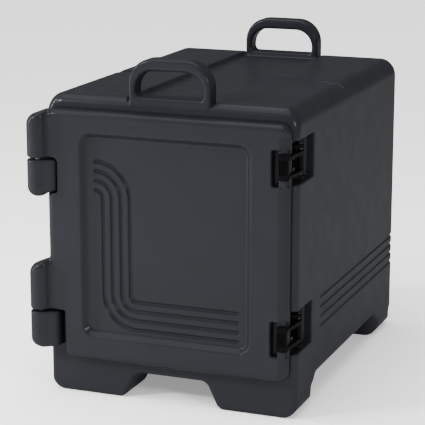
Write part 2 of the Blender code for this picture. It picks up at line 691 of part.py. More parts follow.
def make_door_shell():
    shell = rounded_block("door_shell", (-DOOR_HALF_WIDTH, DOOR_FRONT_Y, DOOR_Z[0]),
                          (DOOR_HALF_WIDTH, DOOR_BACK_Y, DOOR_Z[1]), door_edge_radius)
    join(shell, plug_solid(0.0, PLUG_DEPTH))
    cut(shell, panel_cutter(), *[trim_cutter(i) for i in range(4)])
    cut(shell, *notches())
    for door_z in (UPPER_DOOR_KNUCKLE_Z, LOWER_DOOR_KNUCKLE_Z):
        join(shell, door_knuckle(door_z))
        cut(shell, cylinder("bushing_bore", "z", (HINGE_X, HINGE_Y), BUSHING_RADIUS + GAP,
                            door_z[0] - 0.01, door_z[0] + PIN_ABOVE + BUSHING_END + GAP))
    for level in LATCH_LEVELS.values():
        cut(shell, door_pocket(level))
        join(shell, keeper(level))
    cut(shell, gasket_ring("groove", GASKET_WIDTH + 2 * GAP, DOOR_BACK_Y - GASKET_GROOVE_DEPTH, 0.001))
    cut(shell, door_foam("void", 0.0))
    bottom = DOOR_Z[0]
    centre = (0, DOOR_PORT_Y)
    cut(shell, cylinder("port", "z", centre, DOOR_PORT_RADIUS, bottom - 0.01, bottom + 0.015),
        cylinder("port_seat", "z", centre, DOOR_PORT_HEAD_RADIUS + GAP, bottom - 0.01,
                 bottom + PORT_HEAD_THICKNESS + GAP))
    return shell


def make_door_fill_plug():
    bottom = DOOR_Z[0]
    centre = (0, DOOR_PORT_Y)
    head = cylinder("door_fill_plug", "z", centre, DOOR_PORT_HEAD_RADIUS,
                    bottom + GAP, bottom + PORT_HEAD_THICKNESS)
    stem = cylinder("stem", "z", centre, DOOR_PORT_RADIUS - GAP, bottom + 0.001, bottom + 0.009)
    return join(head, stem)


# ---- hinge and latch hardware --------------------------------------------------------------------
def make_hinge_pin(position, seam):
    """A headless stainless pin, fixed in the body's knuckle, on which the door hangs."""
    name = f"hinge_pin_{position}"
    pin = cylinder(name, "z", (HINGE_X, HINGE_Y), PIN_RADIUS, seam - PIN_BELOW, seam + PIN_ABOVE)
    tip = seam + PIN_ABOVE
    return bevel_edges(pin, 0.001, lambda middle, way: middle.z > tip - 1e-5, 1)


def make_hinge_bushing(position, seam, door_low):
    """A nylon sleeve in the door's knuckle, closed at the top, that turns on the pin."""
    sleeve = cylinder(f"hinge_bushing_{position}", "z", (HINGE_X, HINGE_Y), BUSHING_RADIUS,
                      door_low, door_low + PIN_ABOVE + BUSHING_END)
    return cut(sleeve, cylinder("bore", "z", (HINGE_X, HINGE_Y), PIN_RADIUS + GAP,
                                door_low - 0.01, seam + PIN_ABOVE + GAP))


def make_latch_base(position, level):
    """A moulded plate with two ears that carry the lever's pin."""
    floor = SIDE_POCKET_FLOOR_X + GAP
    face = floor + LATCH_PLATE_THICKNESS
    half = LATCH_PLATE_HALF_HEIGHT
    base = block(f"latch_base_{position}", (floor, LATCH_PLATE_Y[0], level - half),
                 (face, LATCH_PLATE_Y[1], level + half))
    ear = hull_outline(circle(LATCH_PIVOT, LATCH_EAR_RADIUS)
                       + [(face - 0.001, LATCH_PIVOT[1] - 0.013), (face - 0.001, LATCH_PIVOT[1] + 0.013)])
    inner = LATCH_EAR_INNER
    for side in (-1, 1):
        levels = sorted((level + side * inner, level + side * (inner + LATCH_EAR_THICKNESS)))
        join(base, prism("ear", ear, "z", *levels))
    cut(base, cylinder("pin_bore", "z", LATCH_PIVOT, LATCH_PIN_RADIUS + GAP, level - 0.05, level + 0.05))
    for z in (level - SCREW_OFFSET_Z, level + SCREW_OFFSET_Z):
        cut(base, cylinder("screw_hole", "x", (SCREW_Y, z), SCREW_SHANK_RADIUS + GAP,
                           floor - 0.01, face + 0.01))
    return base


def make_latch_lever(position, level):
    """A swing lever: barrel, two arms with a window between them, and a ribbed grip bar."""
    barrel = cylinder(f"latch_lever_{position}", "z", LATCH_PIVOT, LATCH_BARREL_RADIUS,
                      level - LATCH_BARREL_HALF_HEIGHT, level + LATCH_BARREL_HALF_HEIGHT)
    bar_front, bar_back = LATCH_BAR_Y
    hook_x = LATCH_BAR_X[1]
    arm = [(LATCH_ARM_INNER_X[1], LATCH_PIVOT[1]), (LATCH_ARM_INNER_X[0], bar_back + 0.012),
           (hook_x - 0.003, bar_back), (hook_x - 0.003, bar_front), (hook_x, bar_front),
           (hook_x + 0.003, bar_front + 0.004), (LATCH_ARM_OUTER_X[0], bar_back + 0.010),
           (LATCH_ARM_OUTER_X[1], bar_back + 0.025), (LATCH_ARM_OUTER_X[1], LATCH_PIVOT[1])]
    for side in (-1, 1):
        levels = sorted((level + side * LATCH_ARM_Z[0], level + side * LATCH_ARM_Z[1]))
        join(barrel, prism("arm", arm, "z", *levels))
    bar = rounded_rectangle((LATCH_BAR_X[0], bar_front), (hook_x, bar_back),
                            (0.003, 0.001, 0.001, 0.002))
    half = LATCH_BAR_HALF_HEIGHT
    join(barrel, prism("bar", bar, "z", level - half, level + half))
    first = LATCH_BAR_X[0] + 0.0040
    for i in range(LATCH_RIB_COUNT):
        groove = (first + i * 3 * LATCH_RIB_RADIUS, LATCH_BAR_Y[0])
        cut(barrel, cylinder("groove", "z", groove, LATCH_RIB_RADIUS, level - half + 0.004,
                             level + half - 0.004, 8))
    return cut(barrel, cylinder("bore", "z", LATCH_PIVOT, LATCH_PIN_RADIUS + GAP,
                                level - 0.05, level + 0.05))


def make_latch_pin(position, level):
    end = LATCH_EAR_INNER + LATCH_EAR_THICKNESS + GAP
    pin = cylinder(f"latch_pin_{position}", "z", LATCH_PIVOT, LATCH_PIN_RADIUS,
                   level - end, level + end + 0.0008)
    head = cylinder("head", "z", LATCH_PIVOT, LATCH_PIN_RADIUS + 0.0012,
                    level + end, level + end + 0.0016)
    return join(pin, head)


def make_latch_screw(name, z):
    """A pan-head screw that holds a latch's plate to the body."""
    seat = SIDE_POCKET_FLOOR_X + GAP + LATCH_PLATE_THICKNESS + GAP
    head = cylinder(name, "x", (SCREW_Y, z), SCREW_HEAD_RADIUS, seat, seat + SCREW_HEAD_HEIGHT)
    return join(head, cylinder("shank", "x", (SCREW_Y, z), SCREW_SHANK_RADIUS,
                               seat - SCREW_LENGTH, seat + SCREW_HEAD_HEIGHT / 2))


def make_latch_insert(name, z):
    """A brass sleeve moulded into the body, that a latch's screw runs into."""
    low = SIDE_POCKET_FLOOR_X - INSERT_LENGTH
    high = SIDE_POCKET_FLOOR_X - GAP
    sleeve = cylinder(name, "x", (SCREW_Y, z), INSERT_RADIUS, low, high)
    return cut(sleeve, cylinder("bore", "x", (SCREW_Y, z), SCREW_SHANK_RADIUS + GAP,
                                low - 0.01, high + 0.01))


# ---- the assembly --------------------------------------------------------------------------------
def add_empty(name, location, parent=None):
    empty = bpy.data.objects.new(name, None)
    bpy.context.collection.objects.link(empty)
    empty.location = location
    empty.parent = parent
    return empty


def main():
    clear_scene()
    charcoal = make_material("charcoal_polyethylene", (0.040, 0.043, 0.049), 0.55)
    foam = make_material("polyurethane_foam", (0.72, 0.62, 0.40), 0.95)
    nylon = make_material("black_nylon", (0.015, 0.015, 0.016), 0.40)
    rubber = make_material("gasket_rubber", (0.030, 0.030, 0.030), 0.80)
    steel = make_material("stainless_steel", (0.62, 0.62, 0.63), 0.28, 1.0)
    brass = make_material("brass", (0.70, 0.53, 0.25), 0.35, 1.0)

    carrier = add_empty("carrier", (-(X_LOW + X_HIGH) / 2, -(Y_LOW + Y_HIGH) / 2, -FLOOR_Z))
    hinge_axis = (HINGE_X, HINGE_Y, 0)
    door = add_empty("door", hinge_axis, carrier)

    finish(make_body_shell(), charcoal, carrier)
    finish(make_body_foam(), foam, carrier)
    finish(make_body_fill_plug(), charcoal, carrier, smooth=True)

    gasket = gasket_ring("door_gasket", GASKET_WIDTH, DOOR_BACK_Y - GASKET_GROOVE_DEPTH + GAP, -GAP)
    door_pieces = [(make_door_shell(), charcoal), (door_foam("door_foam_core", GAP), foam),
                   (make_door_fill_plug(), charcoal), (gasket, rubber)]
    for position, body_z, door_z in (("upper", UPPER_BODY_KNUCKLE_Z, UPPER_DOOR_KNUCKLE_Z),
                                     ("lower", LOWER_BODY_KNUCKLE_Z, LOWER_DOOR_KNUCKLE_Z)):
        finish(make_hinge_pin(position, body_z[1]), steel, carrier, smooth=True)
        door_pieces.append((make_hinge_bushing(position, body_z[1], door_z[0]), nylon))
    for piece, material in door_pieces:
        finish(set_origin(piece, hinge_axis), material, door)
        piece.location = (0, 0, 0)

    for position, level in LATCH_LEVELS.items():
        finish(make_latch_base(position, level), nylon, carrier)
        finish(make_latch_pin(position, level), steel, carrier, smooth=True)
        for number, side in ((1, 1), (2, -1)):
            z = level + side * SCREW_OFFSET_Z
            finish(make_latch_screw(f"latch_screw_{position}_{number}", z), steel, carrier, smooth=True)
            finish(make_latch_insert(f"latch_insert_{position}_{number}", z), brass, carrier, smooth=True)
        pivot = (*LATCH_PIVOT, level)
        finish(set_origin(make_latch_lever(position, level), pivot), nylon, carrier)


main()
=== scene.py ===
"""The looks of a front-loading insulated food-pan carrier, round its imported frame.

Every moulded piece is described as a field: a function that is negative inside the piece and gives
roughly the distance to its surface. surface() turns a field into a mesh whose points lie on that
surface and whose shading follows it, so edges and fillets are as soft as on a moulded part.

Fields are written in the carrier's own datum: x = 0 is the body's middle plane, y = 0 the body's
front face, and the feet stand on z = FLOOR_Z, in metres. DATUM moves that datum into the frame.
"""
import json
import math

import bpy
import numpy as np
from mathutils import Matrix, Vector


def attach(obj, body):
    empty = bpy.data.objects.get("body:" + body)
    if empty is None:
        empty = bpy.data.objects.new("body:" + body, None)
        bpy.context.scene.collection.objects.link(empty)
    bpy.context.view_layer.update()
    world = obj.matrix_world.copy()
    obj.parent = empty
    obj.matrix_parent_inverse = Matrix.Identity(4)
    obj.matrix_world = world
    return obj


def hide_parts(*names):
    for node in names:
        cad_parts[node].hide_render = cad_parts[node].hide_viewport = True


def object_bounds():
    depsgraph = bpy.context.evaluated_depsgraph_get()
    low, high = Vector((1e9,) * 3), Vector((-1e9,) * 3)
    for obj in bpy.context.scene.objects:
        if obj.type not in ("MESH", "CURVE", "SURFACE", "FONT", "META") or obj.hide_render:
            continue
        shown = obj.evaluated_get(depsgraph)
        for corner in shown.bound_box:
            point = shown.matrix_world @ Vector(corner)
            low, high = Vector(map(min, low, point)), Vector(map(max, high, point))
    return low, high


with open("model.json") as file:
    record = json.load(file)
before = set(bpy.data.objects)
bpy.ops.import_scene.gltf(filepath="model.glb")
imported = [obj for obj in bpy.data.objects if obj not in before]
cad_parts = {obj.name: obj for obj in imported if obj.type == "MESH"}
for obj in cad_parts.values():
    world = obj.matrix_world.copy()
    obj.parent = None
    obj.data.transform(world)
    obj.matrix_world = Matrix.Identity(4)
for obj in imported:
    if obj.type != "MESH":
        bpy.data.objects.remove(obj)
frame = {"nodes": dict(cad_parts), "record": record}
cad_low, cad_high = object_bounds()

# ---- driving dimensions, in metres ---------------------------------------------------------------
BODY_HALF_WIDTH = 0.229
BODY_DEPTH = 0.605
BODY_TOP = 0.531
BODY_UNDERSIDE = 0.044
FLOOR_Z = -0.0025
PAD_HEIGHT = 0.009
CHANNEL_HALF_WIDTH = 0.0745
CROSS_GROOVE_Y = 0.320
CROSS_GROOVE_HALF_WIDTH = 0.0125
CROSS_GROOVE_BEND = 1.2             # how far the cross groove bows forwards at the sides
CROSS_GROOVE_EXTRA_DEPTH = 0.0007
SIDE_RADIUS = 0.033                 # along the top's long edges
REAR_RADIUS = 0.023
REAR_BOTTOM_RADIUS = 0.011
FRONT_RADIUS = 0.011
HANDLE_HALF_WIDTH = 0.074
HANDLE_TOP = 0.598
HANDLE_THICKNESS = 0.0328
HANDLE_RADIUS = 0.045
HANDLE_EDGE_RADIUS = 0.0058
HANDLE_ROOT_Z = 0.500
HANDLE_INSET = 0.0007               # of the handles' outer faces from the body's front and back
HANDLE_HOLE_HALF_WIDTH = 0.062
HANDLE_HOLE_Z = (0.533, 0.578)
HANDLE_HOLE_RADIUS = 0.033
FOOT_INNER_X = (0.088, 0.066)       # on the floor and at the body's underside
FRONT_FOOT_REAR_Y = (0.099, 0.108)
REAR_FOOT_FRONT_Y = (0.488, 0.476)
REAR_FOOT_REAR_Y = (0.597, 0.602)
CAVITY_HALF_WIDTH = 0.168
CAVITY_Z = (0.089, 0.486)
CAVITY_DEPTH = 0.560
RAIL_LEVELS = [0.150 + 0.070 * step for step in range(5)]
RAIL_REACH = 0.012
RAIL_MIDDLE_Y = 0.287
RAIL_HALF_LENGTH = 0.250
GROOVE_LEVELS = [0.1285 + 0.0175 * step for step in range(4)]
GROOVE_START_Y = 0.122
GROOVE_DEPTH = 0.0020
FILL_PORT_Z = 0.300
DOOR_HALF_WIDTH = 0.219
DOOR_Z = (0.066, 0.506)
DOOR_FRONT_Y = -0.024
DOOR_BACK_Y = -0.003
PANEL_HALF_WIDTH = 0.1545
PANEL_MIDDLE_Z = 0.290
PANEL_HALF_HEIGHT = 0.180
PANEL_DEPTH = 0.0095
PANEL_DRAFT = 0.94                  # how far the recess's walls lean in for each metre of depth
TRIM_GROOVE_DEPTH = 0.0034
TRIM_PITCH = 0.0167                 # between neighbouring nested grooves
TRIM_BEND_TOP = (-0.129, 0.3567)
TRIM_BEND_LOW = (-0.054, 0.1900)
TRIM_END_X = 0.129
GASKET_HALF_WIDTH = 0.1775
GASKET_Z_MARGIN = 0.012             # from the compartment's mouth to the gasket's middle line
HINGE = (-0.235, -0.020)
KNUCKLE_RADIUS = 0.0185
PIN_BORE = (0.0045, 0.045)          # radius and depth of the hole for a hinge pin in a body knuckle
BUSHING_BORE = (0.0068, 0.0395)     # and of the hole for a bushing in a door knuckle
BODY_KNUCKLES = [(0.3525, 0.418), (0.0815, 0.148)]
WEB_RISE = (0.0095, 0.0033)         # from the bottom of each body knuckle to that of its web
WEB_CORNER = (0.008, 0.003)
DOOR_KNUCKLES = [(0.422, 0.506), (0.152, 0.243)]
KNUCKLE_RIGHT_X = -0.2003
NOTCH_RIGHT_X = (-0.198, -0.188)
LATCH_LEVELS = {"upper": 0.438, "lower": 0.147}
LATCH_PIVOT = (0.221, 0.032)
LATCH_PIN_BORE = 0.0033
LATCH_BARREL_HALF_HEIGHT = 0.0195
LATCH_BAR_HALF_HEIGHT = 0.022
LATCH_EARS_Z = (0.0228, 0.0295)
LATCH_PLATE_X = (0.2113, 0.2143)
SCREW_PLACE = (0.014, 0.011)        # y, and height above and below the latch's level
SIDE_POCKET_X = 0.211
SIDE_POCKET_REAR_Y = 0.084
SIDE_POCKET_RISE = 0.003
SIDE_POCKET_HALF_HEIGHT = 0.0375
DOOR_POCKET_X = 0.190
DOOR_POCKET_FLOOR_Y = -0.0085
DOOR_POCKET_DROP = 0.004
DOOR_POCKET_HALF_HEIGHT = 0.031
KEEPER_X = (0.2015, 0.2155)

DATUM = Vector(((cad_low.x + cad_high.x) / 2 - (HINGE[0] - KNUCKLE_RADIUS + BODY_HALF_WIDTH) / 2,
                (cad_low.y + cad_high.y) / 2 - (HINGE[1] - KNUCKLE_RADIUS + BODY_DEPTH) / 2,
                -FLOOR_Z))


# ---- fields --------------------------------------------------------------------------------------
def smooth(t):
    """0 below 0, 1 above 1 and an S-curve between."""
    t = np.clip(t, 0, 1)
    return t * t * (3 - 2 * t)


def both(a, b, radius):
    """The part inside a and b, with a round edge where their surfaces meet."""
    corner = np.hypot(np.maximum(a + radius, 0), np.maximum(b + radius, 0))
    return np.minimum(np.maximum(a, b), -radius) + corner


def either(a, b, radius):
    """The two shapes joined, with a fillet between them."""
    return -both(-a, -b, radius)


def less(a, b, radius):
    """The first shape with the second cut away, the cut's mouth rounded."""
    return both(a, -b, radius)


def slab(value, low, high):
    """The space between two parallel planes."""
    return np.maximum(low - value, value - high)


def disc(a, b, centre, radius):
    """The space within a cylinder, seen along its axis."""
    return np.hypot(a - centre[0], b - centre[1]) - radius


def ridge(distance, half, edge):
    """1 on a ridge's crown, falling to 0 across its edge."""
    return 1 - smooth((distance - half) / edge)


def top_height(across, y):
    """Height of the body's top: four pads with a channel and a bowed cross groove between them."""
    channel = ridge(across, CHANNEL_HALF_WIDTH, 0.008)
    from_middle = np.abs(y - CROSS_GROOVE_Y + CROSS_GROOVE_BEND * across * across)
    cross = ridge(from_middle, CROSS_GROOVE_HALF_WIDTH, 0.0075)
    sunk = PAD_HEIGHT * (1 - (1 - channel) * (1 - cross))
    return BODY_TOP - sunk - CROSS_GROOVE_EXTRA_DEPTH * cross * (1 - channel)


def handle_field(across, y, z, low_y):
    """A handle's loop, its root inside the body."""
    loop = both(across - HANDLE_HALF_WIDTH, z - HANDLE_TOP, HANDLE_RADIUS)
    hole = both(across - HANDLE_HOLE_HALF_WIDTH, z - HANDLE_HOLE_Z[1], HANDLE_HOLE_RADIUS)
    hole = both(hole, HANDLE_HOLE_Z[0] - z, 0.008)
    loop = less(loop, hole, 0.001)
    plate = both(loop, slab(y, low_y, low_y + HANDLE_THICKNESS), HANDLE_EDGE_RADIUS)
    return both(plate, HANDLE_ROOT_Z - z, 0.004)


def foot_field(across, y, z, front):
    """A foot without its outer side and front, which it shares with the body."""
    up = (z - FLOOR_Z) / (BODY_UNDERSIDE - FLOOR_Z)

    def leaning(wall):
        """Where a leaning wall stands at this height."""
        return wall[0] + (wall[1] - wall[0]) * up

    inner = (leaning(FOOT_INNER_X) - across) * 0.9
    if front:
        ends = (y - leaning(FRONT_FOOT_REAR_Y)) * 0.98
    else:
        ends = both((leaning(REAR_FOOT_FRONT_Y) - y) * 0.965, (y - leaning(REAR_FOOT_REAR_Y)) * 0.99,
                    0.012)
    return both(both(inner, ends, 0.014), FLOOR_Z - z, 0.009)


def body_knuckle_field(x, y, z, z_range, rise, corner):
    """A barrel with a domed bottom, and a web beside it whose bottom is a little higher."""
    web = both(slab(x, HINGE[0], KNUCKLE_RIGHT_X), slab(y, -0.030, 0.012), 0.013)
    web = both(web, z_range[0] + rise - z, corner)
    barrel = both(disc(x, y, HINGE, KNUCKLE_RADIUS), z_range[0] - z, 0.0175)
    return both(either(barrel, web, 0.009), z - z_range[1], 0.003)


def side_pocket_field(x, y, z, level):
    """The pocket for a latch's base, open to the right and to the front."""
    walls = both(SIDE_POCKET_X - x, y - SIDE_POCKET_REAR_Y, 0.005)
    return both(walls, np.abs(z - level - SIDE_POCKET_RISE) - SIDE_POCKET_HALF_HEIGHT, 0.005)


def cavity_field(across, y, z):
    """The compartment with its pan rails."""
    rails = 0.0
    for level in RAIL_LEVELS:
        rails = rails + ridge(np.abs(z - level), 0.0025, 0.003)
    rails = RAIL_REACH * rails * ridge(np.abs(y - RAIL_MIDDLE_Y), RAIL_HALF_LENGTH, 0.006)
    walls = both(across - CAVITY_HALF_WIDTH + rails, slab(z, *CAVITY_Z), 0.014)
    return both(walls, y - CAVITY_DEPTH, 0.014)


def body_field(x, y, z):
    """The body's shell: box, feet, pads, grooves, handles, knuckles, compartment and pockets."""
    across = np.abs(x)
    side = across - BODY_HALF_WIDTH
    back = y - BODY_DEPTH
    ground = BODY_UNDERSIDE - z
    for front in (True, False):
        ground = either(ground, foot_field(across, y, z, front), 0.010)
    lower_edge = 0.012 + 0.014 * smooth((0.042 - z) / 0.012)
    body = both(both(side, z - BODY_TOP, SIDE_RADIUS), ground, lower_edge)
    front_edge = 0.007 + 0.004 * smooth((z - 0.030) / 0.020) + 0.009 * smooth((z - 0.475) / 0.05)
    body = both(body, -y, front_edge)
    body = np.maximum(body, both(side, -y, FRONT_RADIUS))
    rear_edge = REAR_BOTTOM_RADIUS + (REAR_RADIUS - REAR_BOTTOM_RADIUS) * smooth((z - 0.050) / 0.030)
    body = both(body, back, rear_edge)
    body = np.maximum(body, both(side, back, REAR_RADIUS))
    body = both(body, z - top_height(across, y), 0.003)
    grooves = 0.0
    for level in GROOVE_LEVELS:
        grooves = grooves + ridge(np.abs(z - level), 0.0008, 0.0042)
    body = body + GROOVE_DEPTH * grooves * smooth((y - GROOVE_START_Y) / 0.012)
    for low_y, depth in ((HANDLE_INSET, y), (BODY_DEPTH - HANDLE_INSET - HANDLE_THICKNESS, -back)):
        fillet = 0.0008 + 0.0062 * smooth(depth / 0.012)
        body = either(body, handle_field(across, y, z, low_y), fillet)
    for z_range, rise, corner in zip(BODY_KNUCKLES, WEB_RISE, WEB_CORNER):
        body = either(body, body_knuckle_field(x, y, z, z_range, rise, corner), 0.005)
        bore = both(disc(x, y, HINGE, PIN_BORE[0]), z_range[1] - PIN_BORE[1] - z, 0.0005)
        body = less(body, bore, 0.0005)
    body = less(body, cavity_field(across, y, z), 0.004)
    for level in LATCH_LEVELS.values():
        body = less(body, side_pocket_field(x, y, z, level), 0.0022)
    seat = both(disc(x, z, (0, FILL_PORT_Z), 0.0165), -back - 0.0035, 0.0005)
    return less(body, seat, 0.0015)


def trim_path_distance(x, z, index):
    """Distance to one of the nested grooves' middle lines: across, round, down, round and across."""
    r_top = 0.0630 - TRIM_PITCH * index
    r_low = 0.0120 + TRIM_PITCH * index
    dx, dz = x - TRIM_BEND_TOP[0], z - TRIM_BEND_TOP[1]
    start = np.hypot(dx, dz - r_top)
    arc_top = np.where((dx >= 0) & (dz >= 0), np.abs(np.hypot(dx, dz) - r_top), start)
    middle = (TRIM_BEND_TOP[1] + TRIM_BEND_LOW[1]) / 2
    half_run = (TRIM_BEND_TOP[1] - TRIM_BEND_LOW[1]) / 2
    run = np.hypot(dx - r_top, np.maximum(np.abs(z - middle) - half_run, 0))
    ex, ez = x - TRIM_BEND_LOW[0], z - TRIM_BEND_LOW[1]
    level = np.hypot(np.maximum(np.maximum(-ex, x - TRIM_END_X), 0), ez + r_low)
    arc_low = np.where((ex <= 0) & (ez <= 0), np.abs(np.hypot(ex, ez) - r_low), level)
    return np.minimum(np.minimum(arc_top, run), np.minimum(arc_low, level))


def door_knuckle_field(x, y, z, z_range):
    """The door's half of a hinge: a barrel with a sloping top and a web that runs into the door."""
    web = both(slab(x, HINGE[0], -0.203), slab(y, -0.0200, -0.0035), 0.004)
    barrel = either(disc(x, y, HINGE, KNUCKLE_RADIUS), web, 0.009)
    slope = np.minimum(z_range[1], z_range[1] + 0.40 * (x + DOOR_HALF_WIDTH))
    knuckle = both(barrel, (z - slope) * 0.93, 0.013)
    return both(knuckle, z_range[0] - z, 0.003)


def mouth_outline(x, z, margin_x, margin_z, radius):
    """A rounded rectangle round the compartment's mouth, that much larger each way."""
    middle = (CAVITY_Z[0] + CAVITY_Z[1]) / 2
    half_height = (CAVITY_Z[1] - CAVITY_Z[0]) / 2
    wide = np.abs(x) - CAVITY_HALF_WIDTH - margin_x
    return both(wide, np.abs(z - middle) - half_height - margin_z, radius)


def door_plug_field(x, y, z):
    """The tapered plug on the door's inner face, which fits the compartment's mouth."""
    inset = 0.003 + 0.15 * (y - DOOR_BACK_Y)
    walls = mouth_outline(x, z, -inset, -inset, 0.012)
    return both(walls, slab(y, DOOR_BACK_Y - 0.006, 0.024), 0.005)


def gasket_field(x, y, z, half, low_y, high_y):
    """The gasket, or its groove: a ring round the compartment's mouth, half as wide as stated."""
    margin = GASKET_HALF_WIDTH - CAVITY_HALF_WIDTH
    ring = np.abs(mouth_outline(x, z, margin, GASKET_Z_MARGIN, 0.010)) - half
    return both(ring, slab(y, low_y, high_y), 0.0012)


def door_field(x, y, z):
    """The door's shell: slab, plug, panel, trim, notches, knuckles, latch pockets and keepers."""
    door = both(np.abs(x) - DOOR_HALF_WIDTH, slab(z, *DOOR_Z), 0.018)
    edge = 0.014 - 0.004 * smooth((z - 0.480) / 0.012)
    edge = edge + (0.019 - edge) * smooth((x - 0.196) / 0.012) * (1 - smooth((z - 0.484) / 0.012))
    door = both(door, DOOR_FRONT_Y - y, edge)
    door = both(door, y - DOOR_BACK_Y, 0.002)
    door = either(door, door_plug_field(x, y, z), 0.001)
    depth = y - DOOR_FRONT_Y
    panel = both(np.abs(x) - PANEL_HALF_WIDTH, np.abs(z - PANEL_MIDDLE_Z) - PANEL_HALF_HEIGHT, 0.022)
    walls = (panel + PANEL_DRAFT * depth) * 0.73
    recess = both(walls, depth - PANEL_DEPTH, 0.002)
    door = less(door, recess, 0.0015)
    grooves = 0.0
    for index in range(4):
        grooves = grooves + ridge(trim_path_distance(x, z, index), 0.0008, 0.0038)
    door = door + TRIM_GROOVE_DEPTH * grooves * (y < -0.008)
    floor = BODY_KNUCKLES[0][0] + WEB_RISE[0] - 0.0022
    upper = both(x - NOTCH_RIGHT_X[0], slab(z, floor, DOOR_KNUCKLES[0][0]), 0.008)
    door = less(door, upper, 0.003)
    lower = both(x - NOTCH_RIGHT_X[1], z - DOOR_KNUCKLES[1][0], 0.004)
    door = less(door, lower, 0.003 + 0.005 * smooth((0.095 - z) / 0.015))
    for low, high in DOOR_KNUCKLES:
        door = either(door, door_knuckle_field(x, y, z, (low, high)), 0.004)
        bore = both(disc(x, y, HINGE, BUSHING_BORE[0]), z - low - BUSHING_BORE[1], 0.0005)
        door = less(door, bore, 0.0005)
    for level in LATCH_LEVELS.values():
        height = np.abs(z - level + DOOR_POCKET_DROP)
        pocket = both(DOOR_POCKET_X - x, y - DOOR_POCKET_FLOOR_Y, 0.004)
        pocket = both(pocket, height - DOOR_POCKET_HALF_HEIGHT, 0.004)
        door = less(door, pocket, 0.0022)
        keeper = both(both(slab(x, *KEEPER_X), -0.022 - y, 0.004), y + 0.005, 0.001)
        door = either(door, both(keeper, height - DOOR_POCKET_HALF_HEIGHT - 0.002, 0.001), 0.002)
    groove = gasket_field(x, y, z, 0.0053, DOOR_BACK_Y - 0.004, 0.010)
    return less(door, groove, 0.0008)


def lever_field(x, y, z):
    """A latch's lever about its own level: barrel, arms, hooked grip bar with upright ribs."""
    height = np.abs(z)
    barrel = both(disc(x, y, LATCH_PIVOT, 0.006), height - LATCH_BARREL_HALF_HEIGHT, 0.0008)
    slant = np.maximum(x - 0.227, (x - 0.2225 - 0.08 * (y + 0.031)) * 0.997)
    outer = both(slant, -0.031 - y, 0.004)
    strap = both(less(outer, both(x - 0.2203, -0.0225 - y, 0.003), 0.0008), y - 0.033, 0.002)
    strap = both(strap, 0.2065 - x, 0.0008)
    arms = both(strap, slab(height, 0.0125, LATCH_BARREL_HALF_HEIGHT), 0.0012)
    bar = both(slab(x, 0.2035, 0.2215), slab(y, -0.031, -0.0223), 0.0028)
    bar = both(bar, height - LATCH_BAR_HALF_HEIGHT, 0.0016)
    ribs = 0.0
    for step in range(4):
        ribs = ribs + ridge(np.abs(x - 0.2075 - 0.0037 * step), 0.0006, 0.0009)
    bar = bar + 0.0015 * ribs * (y < -0.026) * ridge(height, 0.0175, 0.0015)
    lever = either(either(barrel, arms, 0.0015), bar, 0.0015)
    return less(lever, disc(x, y, LATCH_PIVOT, LATCH_PIN_BORE), 0.0003)


def latch_base_field(x, y, z):
    """A latch's plate with two ears, about its own level."""
    height = np.abs(z)
    plate = both(slab(y, 0.006, 0.048), height - 0.031, 0.004)
    plate = both(plate, slab(x, *LATCH_PLATE_X), 0.0008)
    rise = x - LATCH_PLATE_X[1]
    cheek = both(np.abs(y - LATCH_PIVOT[1]) - 0.013 + 0.9 * rise, x - 0.223, 0.002)
    cheek = both(cheek, 0.212 - x, 0.0005)
    ear = either(disc(x, y, LATCH_PIVOT, 0.0065), cheek, 0.002)
    ear = both(ear, slab(height, *LATCH_EARS_Z), 0.0012)
    base = either(plate, ear, 0.0018)
    base = less(base, disc(x, y, LATCH_PIVOT, LATCH_PIN_BORE), 0.0003)
    return less(base, disc(y, height, SCREW_PLACE, 0.0027), 0.0003)


def screw_field(x, y, z):
    """A pan-head screw with a cross recess, along x from its head's seat at x = 0."""
    radius = np.hypot(y, z)
    head = both(radius - 0.0045, slab(x, 0, 0.0026 - 22 * radius * radius), 0.0004)
    arms = np.minimum(np.maximum(np.abs(y) - 0.0005, np.abs(z) - 0.0024 + 0.5 * (0.0026 - x)),
                      np.maximum(np.abs(z) - 0.0005, np.abs(y) - 0.0024 + 0.5 * (0.0026 - x)))
    head = less(head, np.maximum(arms, 0.0008 - x), 0.00015)
    shank = both(radius - 0.0024, slab(x, -0.0137, 0.001), 0.0004)
    return either(head, shank, 0.0002)


def latch_pin_field(x, y, z):
    """A latch's pin about its own level, with a low domed head at the top."""
    radius = np.hypot(x - LATCH_PIVOT[0], y - LATCH_PIVOT[1])
    shaft = both(radius - 0.003, slab(z, -0.0296, 0.0304), 0.0006)
    head = both(radius - 0.0042, slab(z, 0.0296, 0.0312), 0.0007)
    return either(shaft, head, 0.0002)


def fill_plug_field(x, y, z):
    """The round plug of the body's filling port, with a coin slot, about the port's middle."""
    radius = np.hypot(x, z)
    head = both(radius - 0.016, slab(y, -0.003, -0.0003), 0.0008)
    stem = both(radius - 0.0117, slab(y, -0.005, -0.001), 0.0005)
    slot = both(both(np.abs(z) - 0.0012, np.abs(x) - 0.010, 0.001), -0.0016 - y, 0.0003)
    return less(either(head, stem, 0.0002), slot, 0.0004)


# ---- meshes --------------------------------------------------------------------------------------
def lines(*spans):
    """Grid lines over joined spans: lines(start, step, stop, step, stop, ...)."""
    marks = [np.array([spans[0]])]
    start = spans[0]
    for step, stop in zip(spans[1::2], spans[2::2]):
        count = max(1, round((stop - start) / step))
        marks.append(np.linspace(start, stop, count + 1)[1:])
        start = stop
    return np.concatenate(marks)


def gradient(field, points, step=0.0002):
    """A field's slope at each point."""
    slopes = np.empty_like(points)
    for axis in range(3):
        shift = np.zeros(3)
        shift[axis] = step
        ahead = field(*(points + shift).T)
        behind = field(*(points - shift).T)
        slopes[:, axis] = (ahead - behind) / (2 * step)
    return slopes


